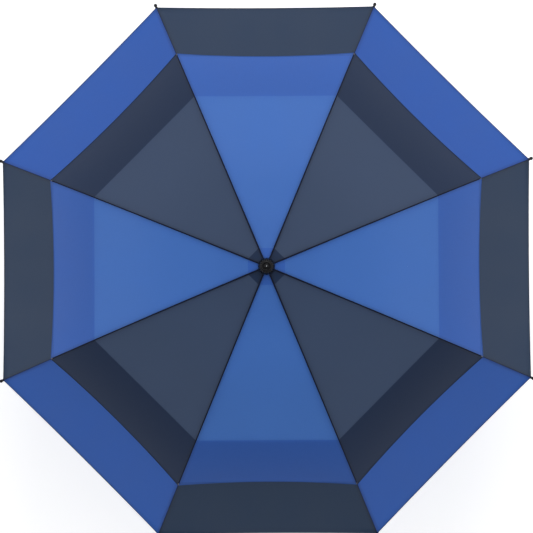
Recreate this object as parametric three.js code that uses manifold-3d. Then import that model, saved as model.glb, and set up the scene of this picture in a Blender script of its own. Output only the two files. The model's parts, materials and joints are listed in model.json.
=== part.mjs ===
// Three-section folding umbrella, open, with a vented double canopy of eight gores.
// Millimetres, +Z up the shaft, origin at the centre of the handle's flat base.
import * as THREE from 'three';
import { mergeVertices } from 'three/addons/utils/BufferGeometryUtils.js';
import Module from 'manifold-3d';

const wasm = await Module();
wasm.setup();

// ---- driving dimensions ----
const RIBS = 8;
const STEP = (2 * Math.PI) / RIBS;
const FIRST_RIB = STEP / 2; // rib 1; gore k runs from rib k-1 to rib k
const SHEET = 0.8; // canopy cloth, with its hems, as modelled
const SEAM_GAP = 0.2; // from a rib's plane to the edge of each gore beside it

const HUB_Z = 610; // height of the ring of rib pivots in the top notch
const HUB_R = 13.5;
const SLOPE = { top: 13, middle: 25, outer: 38 }; // degrees below level, canopy open
const LENGTH = { top: 190, middle: 182, outer: 198 }; // pivot to pivot, the last one to the hem
const RISE = { top: 3, middle: -3.2, outer: 2.6 }; // section's centreline over its inner pivot
const KNEE_RISE = { top: 6.2, middle: -5.8 }; // section's outer pivot over its inner pivot
const RIB_W = 3.2;
const RIB_H = 3;
const RIB_WALL = 0.6;
const TONGUE = 1; // thickness of a rib's single end, between the two cheeks of a fork
const CHEEK = { y0: 0.9, y1: 1.6 };
const EYE_R = 2.2; // rounded end around a pivot
const HOLE_R = 0.95;
const PIN_R = 0.6;
const KEEP_OFF = 7; // channels stop this far short of a pivot
const ROOT = { from: 8, to: 14, half: 1.2 }; // where a tongue or cheek joins its section
const ROD_R = 1.5;
const KNUCKLE = { to: 17, half: 1.7, core: 1.2 }; // block that holds the outer rib's rod
const TIP = { ballR: 3.5, neckR: 2.5, length: 13 };

const STRUT = { at: 70, drop: 4, length: 115, height: 2.2, tongue: 16, eyeR: 2 };
const RUNNER = {
  pivotR: 12.5, bore: 7.6, sleeveR: 10.2, slotR: 10.4, crownR: 14.6, slot: 2, above: 2.5, below: 5,
  length: 22,
};
const NOTCH = { bore: 5.3, slotR: 9.5, outerR: 15.2, slot: 2, below: 6, above: 4.2 };
const WIRE = { r: 0.5, tunnelR: 0.9 }; // ring that the top ribs turn on
const CAP = { bore: 5.3, base: 5.8, depth: 14.5, flutes: 24, flute: 0.7 };

const TUBES = {
  lower: { rOut: 7, rIn: 6.3, z0: 8, z1: 280 },
  middle: { rOut: 6, rIn: 5.3, z0: 222, z1: 442 },
  upper: { rOut: 5, rIn: 4.2, z0: 384, z1: HUB_Z + 13 },
};
const HANDLE = { baseZ: 6, gripZ: 66, topZ: 76, bore: 7.3 };
const BUTTON = { z: 50, width: 10, height: 17, face: 18.4, back: 12.8, pocket: 8.2, play: 0.4 };
const SPRING = { r: 2.8, wireR: 0.3, turns: 3, gap: 0.5 };

// Canopy heights over a section's centreline: over a rib, and over the raised knee.
const CLOTH = { rib: 4, knee: 7, ring: 2.3, vent: 4 };
const HUB_CLOTH = { r: 6.5, lift: 4.6 }; // cloth clamped between notch and cap
const VENT_HEM_R = 416; // corner radius of the upper canopy's hem
const RING_HEM_R = 326; // corner radius of the lower ring's inner hem
const BOW = { vent: 6, ring: 1 }; // how far the middle of a free hem is drawn in
const DIP = { upper: 4, ring: 5 }; // how far the middle of a gore hangs under its ribs

// ---- materials ----
const paint = (color, roughness, metalness = 0) => ({ color, roughness, metalness });
const STEEL = paint(0x9aa0a6, 0.35, 0.9);
const BLACK_STEEL = paint(0x2b2d30, 0.4, 0.7);
const PLASTIC = paint(0x151618, 0.5);
const GLASS_ROD = paint(0x1c1e22, 0.45);
const RUBBER = paint(0x1b1c1f, 0.85);
const ROYAL = paint(0x3d66a8, 0.75);
const NAVY = paint(0x323f5c, 0.75);

const group = new THREE.Group();
group.name = 'folding_umbrella';
const add = (name, geometry, look) => {
  geometry.computeVertexNormals();
  const mesh = new THREE.Mesh(geometry, new THREE.MeshStandardMaterial(look));
  mesh.material.side = THREE.DoubleSide;
  mesh.name = name;
  group.add(mesh);
};

// ---- solid helpers ----
const toSolid = (geometry) => {
  const bare = geometry.clone();
  bare.deleteAttribute('normal');
  bare.deleteAttribute('uv');
  const welded = mergeVertices(bare, 1e-4);
  return new wasm.Manifold(new wasm.Mesh({
    numProp: 3,
    vertProperties: new Float32Array(welded.attributes.position.array),
    triVerts: new Uint32Array(welded.index.array),
  }));
};
const fromMesh = (solid) => {
  const mesh = solid.getMesh();
  const geometry = new THREE.BufferGeometry();
  geometry.setAttribute('position', new THREE.BufferAttribute(mesh.vertProperties, 3));
  geometry.setIndex(new THREE.BufferAttribute(mesh.triVerts, 1));
  return geometry.toNonIndexed();
};
const join = (...parts) => fromMesh(parts.map(toSolid).reduce((a, b) => a.add(b)));
const cut = (body, ...tools) =>
  fromMesh(tools.map(toSolid).reduce((a, b) => a.subtract(b), toSolid(body)));

// Triangles of several open surfaces, as one.
const gather = (...surfaces) => {
  const loose = surfaces.map((g) => (g.index ? g.toNonIndexed() : g));
  const positions = loose.flatMap((g) => [...g.attributes.position.array]);
  const out = new THREE.BufferGeometry();
  out.setAttribute('position', new THREE.Float32BufferAttribute(positions, 3));
  return out;
};

// Closed (radius, height) loop, anticlockwise, turned about the shaft.
const lathe = (loop, segments = 24) => {
  const points = [...loop, loop[0]].map(([r, z]) => new THREE.Vector2(r, z));
  return new THREE.LatheGeometry(points, segments).rotateX(Math.PI / 2);
};
const tube = ({ rOut, rIn, z0, z1 }) => lathe([[rIn, z0], [rOut, z0], [rOut, z1], [rIn, z1]]);
const box = (x0, x1, y0, y1, z0, z1) =>
  new THREE.BoxGeometry(x1 - x0, y1 - y0, z1 - z0)
    .translate((x0 + x1) / 2, (y0 + y1) / 2, (z0 + z1) / 2);

// Outline around a round eye and a rectangular foot, in the plane of a rib.
const eye = (x, z, r = EYE_R) =>
  Array.from({ length: 10 }, (_, i) => {
    const a = (i * Math.PI) / 5;
    return [x + r * Math.cos(a), z + r * Math.sin(a)];
  });
const foot = (x0, x1, z0, z1) => [[x0, z0], [x1, z0], [x1, z1], [x0, z1]];
const hull = (points) => {
  const sorted = [...points].sort((a, b) => a[0] - b[0] || a[1] - b[1]);
  const turn = (a, b, c) => (b[0] - a[0]) * (c[1] - a[1]) - (b[1] - a[1]) * (c[0] - a[0]);
  const chain = (list) => {
    const out = [];
    for (const p of list) {
      while (out.length > 1 && turn(out.at(-2), out.at(-1), p) <= 1e-9) out.pop();
      out.push(p);
    }
    return out.slice(0, -1);
  };
  return [...chain(sorted), ...chain(sorted.reverse())];
};
// Flat plate in a rib's plane from y0 to y1, with an optional pivot hole.
const plate = (points, y0, y1, hole) => {
  const shape = new THREE.Shape(hull(points).map(([x, z]) => new THREE.Vector2(x, z)));
  if (hole) {
    const ring = Array.from({ length: 6 }, (_, i) => {
      const a = (-i * Math.PI) / 3;
      return new THREE.Vector2(hole[0] + HOLE_R * Math.cos(a), hole[1] + HOLE_R * Math.sin(a));
    });
    shape.holes.push(new THREE.Path(ring));
  }
  return new THREE.ExtrudeGeometry(shape, { depth: y1 - y0, bevelEnabled: false })
    .rotateX(Math.PI / 2).translate(0, y1, 0);
};
const tongue = (points, hole) => plate(points, -TONGUE / 2, TONGUE / 2, hole);
const cheeks = (points) => [plate(points, -CHEEK.y1, -CHEEK.y0), plate(points, CHEEK.y0, CHEEK.y1)];
const pin = () => new THREE.CylinderGeometry(PIN_R, PIN_R, CHEEK.y0 + CHEEK.y1, 6);

// U channel along x; web on the +z side, or on the -z side when flipped.
const channel = (x0, x1, z, height = RIB_H, flipped = false) => {
  const [w, h, t, s] = [RIB_W / 2, height / 2, RIB_WALL, flipped ? -1 : 1];
  const outline = [[-w, -h], [-w + t, -h], [-w + t, h - t], [w - t, h - t], [w - t, -h],
    [w, -h], [w, h], [-w, h]].map(([y, v]) => new THREE.Vector2(y, s * v));
  if (flipped) outline.reverse();
  const turn = new THREE.Matrix4().makeBasis(
    new THREE.Vector3(0, 1, 0), new THREE.Vector3(0, 0, 1), new THREE.Vector3(1, 0, 0));
  return new THREE.ExtrudeGeometry(new THREE.Shape(outline), { depth: x1 - x0, bevelEnabled: false })
    .applyMatrix4(turn).translate(x0, 0, z);
};

// ---- frame of each rib section: inner pivot (radius, height) and slope ----
const rad = THREE.MathUtils.degToRad;
const along = (frame, x, z) => {
  const [c, s] = [Math.cos(rad(frame.slope)), Math.sin(rad(frame.slope))];
  return { r: frame.r + x * c + z * s, z: frame.z - x * s + z * c };
};
const TOP = { r: HUB_R, z: HUB_Z, slope: SLOPE.top };
const MIDDLE = { ...along(TOP, LENGTH.top, KNEE_RISE.top), slope: SLOPE.middle };
const OUTER = { ...along(MIDDLE, LENGTH.middle, KNEE_RISE.middle), slope: SLOPE.outer };
const strutEye = along(TOP, STRUT.at, RISE.top - STRUT.drop);
const strutReach = Math.sqrt(STRUT.length ** 2 - (strutEye.r - RUNNER.pivotR) ** 2);
const RUNNER_Z = strutEye.z - strutReach; // height of the runner's pivots, canopy open
const strutSlope = 180 - (Math.atan2(strutReach, strutEye.r - RUNNER.pivotR) * 180) / Math.PI;
const STRETCHER = { ...strutEye, slope: strutSlope };

const place = (geometry, frame, azimuth) =>
  geometry.clone().rotateY(rad(frame.slope)).translate(frame.r, 0, frame.z).rotateZ(azimuth);

// ---- rib sections, each along +x from its inner pivot ----
const rootOf = (c, x0, x1, half = ROOT.half) => foot(x0, x1, c - half, c + half);
const endTongue = (c, length, z, r) =>
  tongue([...eye(length, z, r), ...rootOf(c, length - ROOT.to, length - ROOT.from)], [length, z]);

const topRib = () => {
  const c = RISE.top;
  const lug = [STRUT.at, c - STRUT.drop];
  return join(
    channel(KEEP_OFF, LENGTH.top - KEEP_OFF, c),
    tongue([...eye(0, 0), ...rootOf(c, ROOT.from, ROOT.to)], [0, 0]),
    endTongue(c, LENGTH.top, KNEE_RISE.top),
    tongue([...eye(...lug), ...foot(STRUT.at - 7, STRUT.at + 7, c, c + ROOT.half)], lug),
  );
};
const middleRib = () => {
  const c = RISE.middle;
  return join(
    channel(KEEP_OFF, LENGTH.middle - KEEP_OFF, c),
    ...cheeks([...eye(0, 0), ...rootOf(c, KEEP_OFF, ROOT.to, RIB_H / 2 - 0.1)]),
    pin(),
    endTongue(c, LENGTH.middle, KNEE_RISE.middle),
  );
};
const outerRib = () => {
  const [c, hem] = [RISE.outer, LENGTH.outer];
  const ballX = hem + TIP.length - TIP.ballR;
  const round = (r0, r1, x0, x1) => new THREE.CylinderGeometry(r1, r0, x1 - x0, 8)
    .rotateZ(-Math.PI / 2).translate((x0 + x1) / 2, 0, c);
  const { to, half, core } = KNUCKLE;
  return join(
    ...cheeks([...eye(0, 0), ...rootOf(c, KEEP_OFF, to, half)]),
    pin(),
    box(KEEP_OFF + 1, to, -core, core, c - half, c + half),
    round(ROD_R, ROD_R, to - 2, hem + 4),
    round(TIP.neckR, TIP.neckR * 0.8, hem + 1.5, ballX),
    new THREE.SphereGeometry(TIP.ballR, 10, 7).rotateZ(-Math.PI / 2).translate(ballX, 0, c),
  );
};
const stretcher = () => {
  const { length, height, tongue: reach, eyeR } = STRUT;
  return join(
    channel(KEEP_OFF, length - reach, 0, height, true),
    ...cheeks([...eye(0, 0), ...rootOf(0, KEEP_OFF, ROOT.to, height / 2 - 0.1)]),
    pin(),
    tongue([...eye(length, 0, eyeR), ...rootOf(0, length - reach - 8, length - reach, 0.9)],
      [length, 0]),
  );
};

const sections = {
  top_rib: [topRib(), TOP, BLACK_STEEL],
  middle_rib: [middleRib(), MIDDLE, BLACK_STEEL],
  outer_rib: [outerRib(), OUTER, GLASS_ROD],
  stretcher: [stretcher(), STRETCHER, BLACK_STEEL],
};
for (let k = 1; k <= RIBS; k += 1) {
  const azimuth = FIRST_RIB + (k - 1) * STEP;
  for (const [name, [geometry, frame, look]] of Object.entries(sections)) {
    add(`${name}_${k}`, place(geometry, frame, azimuth), look);
  }
}

// ---- canopy ----
// One gore as a thin closed sheet. Each row is a point over the ribs: radius, height of
// the cloth's underside, and how far its middle is drawn in along the surface. The middle
// of the gore dips by a share of its width.
const gore = (rows, dip, columns) => {
  const at = (i, j, lift) => {
    const { r, z, bow = 0 } = rows[i];
    const t = (2 * j) / columns - 1;
    const half = r * Math.sin(STEP / 2) - SEAM_GAP;
    const swell = 1 - t * t;
    const inner = rows[Math.max(i - 1, 0)];
    const fall = i ? (inner.z - z) / (r - inner.r) : 0;
    return [r * Math.cos(STEP / 2) - bow * swell, half * t,
      z + lift + (bow * fall - dip * (r / VENT_HEM_R)) * swell];
  };
  const wide = columns + 1;
  const id = (i, j, under) => (under ? rows.length * wide : 0) + i * wide + j;
  const positions = [SHEET, 0].flatMap((lift) =>
    rows.flatMap((_, i) => Array.from({ length: wide }, (_, j) => at(i, j, lift)).flat()));
  const faces = [];
  for (let i = 0; i + 1 < rows.length; i += 1) {
    for (let j = 0; j < columns; j += 1) {
      const [a, b, c, d] = [[i, j], [i + 1, j], [i + 1, j + 1], [i, j + 1]];
      faces.push(id(...a, 0), id(...b, 0), id(...c, 0), id(...a, 0), id(...c, 0), id(...d, 0));
      faces.push(id(...a, 1), id(...c, 1), id(...b, 1), id(...a, 1), id(...d, 1), id(...c, 1));
    }
  }
  const last = rows.length - 1;
  const rim = [
    ...rows.slice(1).map((_, i) => [[i, 0], [i + 1, 0]]),
    ...Array.from({ length: columns }, (_, j) => [[last, j], [last, j + 1]]),
    ...rows.slice(1).map((_, i) => [[last - i, columns], [last - i - 1, columns]]),
    ...Array.from({ length: columns }, (_, j) => [[0, columns - j], [0, columns - j - 1]]),
  ];
  for (const [a, b] of rim) {
    faces.push(id(...b, 0), id(...a, 0), id(...a, 1), id(...b, 0), id(...a, 1), id(...b, 1));
  }
  const geometry = new THREE.BufferGeometry();
  geometry.setAttribute('position', new THREE.Float32BufferAttribute(positions, 3));
  geometry.setIndex(faces);
  return geometry.toNonIndexed();
};
// Point over a section, at a height over its centreline; radius first when one is given.
const over = (frame, rise, x, lift) => along(frame, x, rise + lift);
const overAt = (frame, rise, radius, lift) => {
  const start = over(frame, rise, 0, lift);
  return over(frame, rise, (radius - start.r) / Math.cos(rad(frame.slope)), lift);
};

const upperRows = [
  { r: HUB_CLOTH.r, z: HUB_Z + HUB_CLOTH.lift },
  { r: NOTCH.outerR + 0.8, z: HUB_Z + HUB_CLOTH.lift },
  over(TOP, RISE.top, 30, CLOTH.rib),
  over(TOP, RISE.top, 110, CLOTH.rib),
  over(TOP, RISE.top, LENGTH.top - 4, CLOTH.knee),
  over(MIDDLE, RISE.middle, 8, CLOTH.knee),
  over(MIDDLE, RISE.middle, 90, CLOTH.rib),
  over(MIDDLE, RISE.middle, LENGTH.middle - 8, CLOTH.rib + 1.4),
  over(OUTER, RISE.outer, 10, CLOTH.rib + 1.2),
  { ...overAt(OUTER, RISE.outer, 392, CLOTH.vent + 0.4), bow: BOW.vent * 0.4 },
  { ...overAt(OUTER, RISE.outer, VENT_HEM_R, CLOTH.vent), bow: BOW.vent },
];
const ringRows = [
  overAt(MIDDLE, RISE.middle, RING_HEM_R, CLOTH.ring),
  over(MIDDLE, RISE.middle, LENGTH.middle - 7, CLOTH.ring + 1),
  over(OUTER, RISE.outer, 12, CLOTH.ring + 0.9),
  over(OUTER, RISE.outer, 100, CLOTH.ring),
  { ...over(OUTER, RISE.outer, LENGTH.outer, CLOTH.ring), bow: BOW.ring },
];
const COLUMNS = 4;
const upperGore = gore(upperRows, DIP.upper, COLUMNS);
const ringGore = gore(ringRows, DIP.ring, COLUMNS);
for (let k = 1; k <= RIBS; k += 1) {
  const azimuth = (k - 1) * STEP;
  const looks = k % 2 ? [ROYAL, NAVY] : [NAVY, ROYAL];
  add(`upper_gore_${k}`, upperGore.clone().rotateZ(azimuth), looks[0]);
  add(`lower_gore_${k}`, ringGore.clone().rotateZ(azimuth), looks[1]);
}

// ---- hub and runner: round blocks with a slot for every rib ----
const slottedDisc = (rOut, rSlot, rBore, slot, z0, z1) => {
  const points = [];
  const push = (r, a) => points.push(new THREE.Vector2(r * Math.cos(a), r * Math.sin(a)));
  for (let k = 0; k < RIBS; k += 1) {
    const a = FIRST_RIB + k * STEP;
    const [wide, deep] = [Math.asin(slot / 2 / rOut), Math.asin(slot / 2 / rSlot)];
    push(rOut, a - wide);
    push(rSlot, a - deep);
    push(rSlot, a + deep);
    push(rOut, a + wide);
    for (let i = 1; i < 4; i += 1) push(rOut, a + wide + ((STEP - 2 * wide) * i) / 4);
  }
  const shape = new THREE.Shape(points);
  shape.holes.push(new THREE.Path(Array.from({ length: 24 }, (_, i) => {
    const a = (-i * Math.PI) / 12;
    return new THREE.Vector2(rBore * Math.cos(a), rBore * Math.sin(a));
  })));
  return new THREE.ExtrudeGeometry(shape, { depth: z1 - z0, bevelEnabled: false })
    .translate(0, 0, z0);
};
const ringWire = (r) => new THREE.TorusGeometry(HUB_R, r, 6, 48).translate(0, 0, HUB_Z);

add('top_notch', cut(
  slottedDisc(NOTCH.outerR, NOTCH.slotR, NOTCH.bore, NOTCH.slot, HUB_Z - NOTCH.below,
    HUB_Z + NOTCH.above),
  ringWire(WIRE.tunnelR)), PLASTIC);
add('notch_wire', ringWire(WIRE.r), STEEL);
const { bore: runnerBore, sleeveR } = RUNNER;
add('runner', join(
  slottedDisc(RUNNER.crownR, RUNNER.slotR, runnerBore, RUNNER.slot, RUNNER_Z - RUNNER.below,
    RUNNER_Z + RUNNER.above),
  tube({ rOut: sleeveR, rIn: runnerBore, z0: RUNNER_Z - RUNNER.length,
    z1: RUNNER_Z - RUNNER.below + 1 }),
), PLASTIC);

// Fluted cap that screws on the upper tube and clamps the canopy on the notch.
const ferruleCap = () => {
  const turn = (loop) => new THREE.LatheGeometry(
    loop.map(([r, z]) => new THREE.Vector2(r, z)), 2 * CAP.flutes).rotateX(Math.PI / 2);
  const shell = mergeVertices(gather(
    turn([[CAP.bore, CAP.depth], [CAP.bore, CAP.base], [13.6, CAP.base], [14.2, 6.2], [14.2, 9],
      [13.4, 15], [11.6, 20], [8.2, 23.4], [4, 24.8], [0, 25.2]]),
    turn([[0, CAP.depth], [CAP.bore, CAP.depth]]),
  ), 1e-4);
  const points = shell.attributes.position;
  for (let i = 0; i < points.count; i += 1) {
    const [x, y] = [points.getX(i), points.getY(i)];
    const r = Math.hypot(x, y);
    const groove = Math.round((Math.atan2(y, x) * CAP.flutes) / Math.PI) % 2;
    const inset = r > CAP.bore + 0.1 && groove ? 1 - CAP.flute / r : 1;
    points.setXY(i, x * inset, y * inset);
  }
  return shell.toNonIndexed().translate(0, 0, HUB_Z);
};
add('ferrule_cap', ferruleCap(), PLASTIC);

// ---- shaft ----
for (const [name, size] of Object.entries(TUBES)) add(`${name}_tube`, tube(size), STEEL);

// ---- handle ----
const { baseZ, gripZ, topZ, bore } = HANDLE;
add('handle_base_cap', lathe([[0, 0], [15, 0], [16.4, 1.2], [16.8, 3], [16.8, baseZ], [0, baseZ]], 36),
  PLASTIC);
const grip = lathe([[bore, baseZ + 0.3], [16.8, baseZ + 0.3], [17.2, 14], [16.4, 26], [16.6, 38],
  [17, 50], [16.4, 60], [14.6, gripZ], [bore, gripZ]], 36);
const slot = (wide, high, y0, y1) => {
  const [w, h] = [wide / 2, high / 2];
  const corner = [[1, -h + w], [0.6, -h + 0.3 * w], [0, -h]].map(([x, z]) => [x * w, z]);
  const outline = corner.flatMap(([x, z]) => [[x, z], [-x, z], [x, -z], [-x, -z]]);
  return plate(outline.map(([x, z]) => [x, z + BUTTON.z]), y0, y1);
};
const { width, height, face, back, pocket, play } = BUTTON;
add('handle_grip', cut(grip, slot(width + 2 * play, height + 2 * play, -20, -pocket)), RUBBER);
add('handle_collar', lathe([[bore, gripZ + 0.3], [14.2, gripZ + 0.3], [13.4, 70], [10.6, 74],
  [9.6, topZ], [bore, topZ]], 36), PLASTIC);
add('push_button', slot(width, height, -face, -back), PLASTIC);

// Coil spring behind the button, along -y from the pocket's floor.
class Coil extends THREE.Curve {
  getPoint(t) {
    const a = t * 2 * Math.PI * SPRING.turns;
    const depth = back - pocket - 2 * SPRING.gap;
    return new THREE.Vector3(
      SPRING.r * Math.cos(a), -pocket - SPRING.gap - depth * t, BUTTON.z + SPRING.r * Math.sin(a));
  }
}
const wire = new THREE.Shape(Array.from({ length: 5 }, (_, i) => {
  const a = (i * 2 * Math.PI) / 5;
  return new THREE.Vector2(SPRING.wireR * Math.cos(a), SPRING.wireR * Math.sin(a));
}));
add('button_spring', new THREE.ExtrudeGeometry(
  wire, { steps: 12 * SPRING.turns, extrudePath: new Coil(), bevelEnabled: false }), STEEL);

export default group;
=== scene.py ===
"""Compact folding umbrella with a vented double canopy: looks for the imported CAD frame.

Metres, row frame: +Z up the shaft, origin at the centre of the handle's base.
"""
import json
import math

import bpy
import numpy as np
from mathutils import Matrix, Vector


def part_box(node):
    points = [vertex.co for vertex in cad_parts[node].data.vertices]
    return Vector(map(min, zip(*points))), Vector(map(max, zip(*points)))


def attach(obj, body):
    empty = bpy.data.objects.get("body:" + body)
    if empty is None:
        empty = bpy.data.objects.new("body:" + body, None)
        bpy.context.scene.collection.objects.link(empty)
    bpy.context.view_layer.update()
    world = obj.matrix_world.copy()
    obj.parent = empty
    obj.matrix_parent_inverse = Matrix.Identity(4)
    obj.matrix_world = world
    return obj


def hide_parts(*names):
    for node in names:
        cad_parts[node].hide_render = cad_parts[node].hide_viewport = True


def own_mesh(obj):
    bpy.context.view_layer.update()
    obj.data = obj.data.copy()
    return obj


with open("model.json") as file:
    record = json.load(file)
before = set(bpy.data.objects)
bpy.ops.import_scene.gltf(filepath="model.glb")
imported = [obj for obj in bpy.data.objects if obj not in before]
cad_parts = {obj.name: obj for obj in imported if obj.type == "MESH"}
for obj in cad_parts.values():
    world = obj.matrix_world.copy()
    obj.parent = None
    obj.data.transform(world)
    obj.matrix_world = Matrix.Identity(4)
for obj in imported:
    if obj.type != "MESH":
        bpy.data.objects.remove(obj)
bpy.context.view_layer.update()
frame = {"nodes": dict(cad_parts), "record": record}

MM = 0.001
RIBS = 8
STEP = 2 * math.pi / RIBS
HALF = STEP / 2
TAN = math.tan(HALF)
joints = {j["name"]: j for j in frame["record"]["behaviour"]["joints"]}


# ---- where things are, read from the frame ----
def pivot(joint):
    """(radius, height) of a hinge of rib 1."""
    x, y, z = joints[joint]["pos_m"]
    return math.hypot(x, y), z


def rib_azimuth(k):
    """Azimuth of rib k, from 1."""
    return HALF + (k - 1) * STEP


def offset(point, slope, along, rise):
    """Point (radius, height) moved along a section that falls at slope degrees, and up off it."""
    c, s = math.cos(math.radians(slope)), math.sin(math.radians(slope))
    return point[0] + along * c + rise * s, point[1] - along * s + rise * c


hub = pivot("canopy_fold")
knee = pivot("middle_rib_1_fold")
outer_knee = pivot("outer_rib_1_fold")
strut_eye = pivot("stretcher_1_fold")
SLOPE = {"top": 13, "middle": 25, "outer": 38}  # degrees below level
KNEE_SLOPE, OUTER_KNEE_SLOPE = 19, 31.5  # of the cloth over a knee: midway between its sections
CENTRE = {"top": 3 * MM, "middle": -3.2 * MM, "outer": 2.6 * MM}  # centreline over inner pivot
OUTER_LENGTH = 198 * MM  # outer pivot to hem
hem_point = offset(outer_knee, SLOPE["outer"], OUTER_LENGTH, CENTRE["outer"] + 2.7 * MM)
rim_r = hem_point[0]
VENT_R = 416 * MM  # corner radius of the upper canopy's free hem
RING_R = 326 * MM  # corner radius of the lower ring's tucked hem
CROWN_R = 34 * MM  # corner radius of the doubled patch at the hub
CLOTH_R0 = 6.5 * MM  # inner edge of the cloth, under the cap
COVERED_R = VENT_R - 5 * MM  # inside this, the ring lies in the shade of the upper canopy, painted as shade by the darker cloth copy


def section_place(section, k):
    """From a rib section's own frame, along +X from its inner pivot, to the row frame."""
    r, z = {"top": hub, "middle": knee, "outer": outer_knee}[section]
    turn = Matrix.Rotation(rib_azimuth(k), 4, "Z")
    slope = Matrix.Rotation(math.radians(SLOPE[section]), 4, "Y")
    return turn @ Matrix.Translation((r, 0, z)) @ slope


# ---- canopy surface ----
# Profiles over a rib as (radius, height) corners, rounded by a moving average.
UPPER = [
    (CLOTH_R0, hub[1] + 5 * MM),
    (hub[0] + 2.5 * MM, hub[1] + 5 * MM),
    offset(hub, SLOPE["top"], 30 * MM, CENTRE["top"] + 5 * MM),
    offset(knee, KNEE_SLOPE, 0, 5.6 * MM),
    offset(outer_knee, OUTER_KNEE_SLOPE, 0, CENTRE["outer"] + 7.4 * MM),
    offset(outer_knee, SLOPE["outer"], OUTER_LENGTH, CENTRE["outer"] + 4.2 * MM),
]
RING = [
    offset(knee, SLOPE["middle"], 0, CENTRE["middle"] + 3.2 * MM),
    offset(outer_knee, OUTER_KNEE_SLOPE, 0, CENTRE["outer"] + 5 * MM),
    hem_point,
]
ROUNDING = 45 * MM  # half the width of the moving average
SHORTEST = 0.5 * MM


def profile(corners):
    """Height over a rib as a smooth function of radius."""
    rs, zs = (np.array(v) for v in zip(*corners))

    def height(r):
        reach = min(ROUNDING, max(r - rs[0], 0) * 0.9 + SHORTEST, rs[-1] - rs[0])
        if r + reach > rs[-1]:
            reach = max(rs[-1] - r, SHORTEST)
        return float(np.interp(np.linspace(r - reach, r + reach, 41), rs, zs).mean())

    return height


upper_height = profile(UPPER)
ring_height = profile(RING)


def row_x(corner_r, q, bow=0.0):
    """Distance along the rib, in plan, of the row with that corner radius.

    q runs from 0 on the rib to 1 midway between two ribs. bow draws the row's middle in.
    """
    return (corner_r - bow * swell(q) / math.cos(HALF)) / (1 + q * TAN**2)


def swell(q):
    """0 on a rib and 1 midway, level there."""
    share = q / (math.cos(HALF) ** 2 + q * math.sin(HALF) ** 2)
    return 1 - (1 - share) ** 2


def cloth_point(height, x, q, dip):
    """Point of a gore half in the frame of its rib, which lies along +X."""
    r = x * (1 + q * TAN**2)
    return Vector((x, q * x * TAN, height(max(r, CLOTH_R0)) - dip * (r / rim_r) * swell(q)))


# ---- mesh helpers ----
def new_object(name, verts, faces, materials, indices=None, uvs=None, smooth=True, normals=None):
    mesh = bpy.data.meshes.new(name)
    mesh.from_pydata([tuple(v) for v in verts], [], faces)
    for material in materials:
        mesh.materials.append(material)
    if indices is not None:
        mesh.polygons.foreach_set("material_index", indices)
    mesh.polygons.foreach_set("use_smooth", [smooth] * len(mesh.polygons))
    for layer, values in (uvs or {}).items():
        data = mesh.uv_layers.new(name=layer).data
        for loop in mesh.loops:
            data[loop.index].uv = values[loop.vertex_index]
    if normals is not None:
        mesh.normals_split_custom_set_from_vertices([tuple(n) for n in normals])
    mesh.update()
    obj = bpy.data.objects.new(name, mesh)
    bpy.context.scene.collection.objects.link(obj)
    return obj


def turned(points, azimuth):
    turn = Matrix.Rotation(azimuth, 4, "Z")
    return [turn @ Vector(p) for p in points]


def lathe(name, profile, material, segments=64, loop=False, place=None, sharp=35):
    """Corners (radius, height) turned about +Z; loop joins the last corner to the first."""
    verts, faces, rows = [], [], []
    for r, z in profile:
        count = 1 if r < 1e-7 else segments
        rows.append([len(verts) + i for i in range(count)])
        for i in range(count):
            a = 2 * math.pi * i / segments
            verts.append(Vector((r * math.cos(a), r * math.sin(a), z)))
    for low, high in list(zip(rows, rows[1:])) + ([(rows[-1], rows[0])] if loop else []):
        for i in range(segments):
            j = (i + 1) % segments
            if len(low) == 1:
                faces.append((low[0], high[j], high[i]))
            elif len(high) == 1:
                faces.append((low[i], low[j], high[0]))
            else:
                faces.append((low[i], low[j], high[j], high[i]))
    if place is not None:
        verts = [place @ v for v in verts]
    obj = new_object(name, verts, faces, [material])
    obj.data.set_sharp_from_angle(angle=math.radians(sharp))
    return obj


def rounded(corners, radius, steps=4, loop=False):
    """Corners with each turn replaced by a small curve."""
    count = len(corners)
    out = []
    for i, corner in enumerate(corners):
        if not loop and i in (0, count - 1):
            out.append(corner)
            continue
        here, back, ahead = (Vector(corners[j % count]) for j in (i, i - 1, i + 1))
        to_back, to_ahead = back - here, ahead - here
        a = here + to_back.normalized() * min(radius, to_back.length * 0.45)
        b = here + to_ahead.normalized() * min(radius, to_ahead.length * 0.45)
        for s in range(steps + 1):
            t = s / steps
            out.append(tuple(a * (1 - t) ** 2 + here * 2 * t * (1 - t) + b * t * t))
    return out


def tube_along(name, path, ring, material, closed=False, place=None, up=(0, 0, 1), widths=None):
    """A closed body that carries ring, in (side, up) offsets, along a path.

    widths scales the side offsets at each point.
    """
    count, sides = len(path), len(ring)
    verts, faces = [], []
    for i, p in enumerate(path):
        before = path[i - 1] if i or closed else p
        after = path[(i + 1) % count] if i + 1 < count or closed else p
        ahead = (after - before).normalized()
        side = Vector(up).cross(ahead).normalized()
        lift = ahead.cross(side)
        wide = widths[i] if widths is not None else 1
        verts += [p + side * a * wide + lift * b for a, b in ring]
    for i in range(count if closed else count - 1):
        for j in range(sides):
            a, b = i * sides, ((i + 1) % count) * sides
            k = (j + 1) % sides
            faces.append((a + j, a + k, b + k, b + j))
    if not closed:
        faces.append(tuple(range(sides))[::-1])
        faces.append(tuple(range((count - 1) * sides, count * sides)))
    if place is not None:
        verts = [place @ v for v in verts]
    obj = new_object(name, verts, faces, [material])
    obj.data.set_sharp_from_angle(angle=math.radians(50))
    return obj


def circle(radius, sides=10, flat=1.0):
    """Ring for tube_along, flattened by a share."""
    turns = [2 * math.pi * i / sides for i in range(sides)]
    return [(radius * math.cos(a), radius * flat * math.sin(a)) for a in turns]


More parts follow.
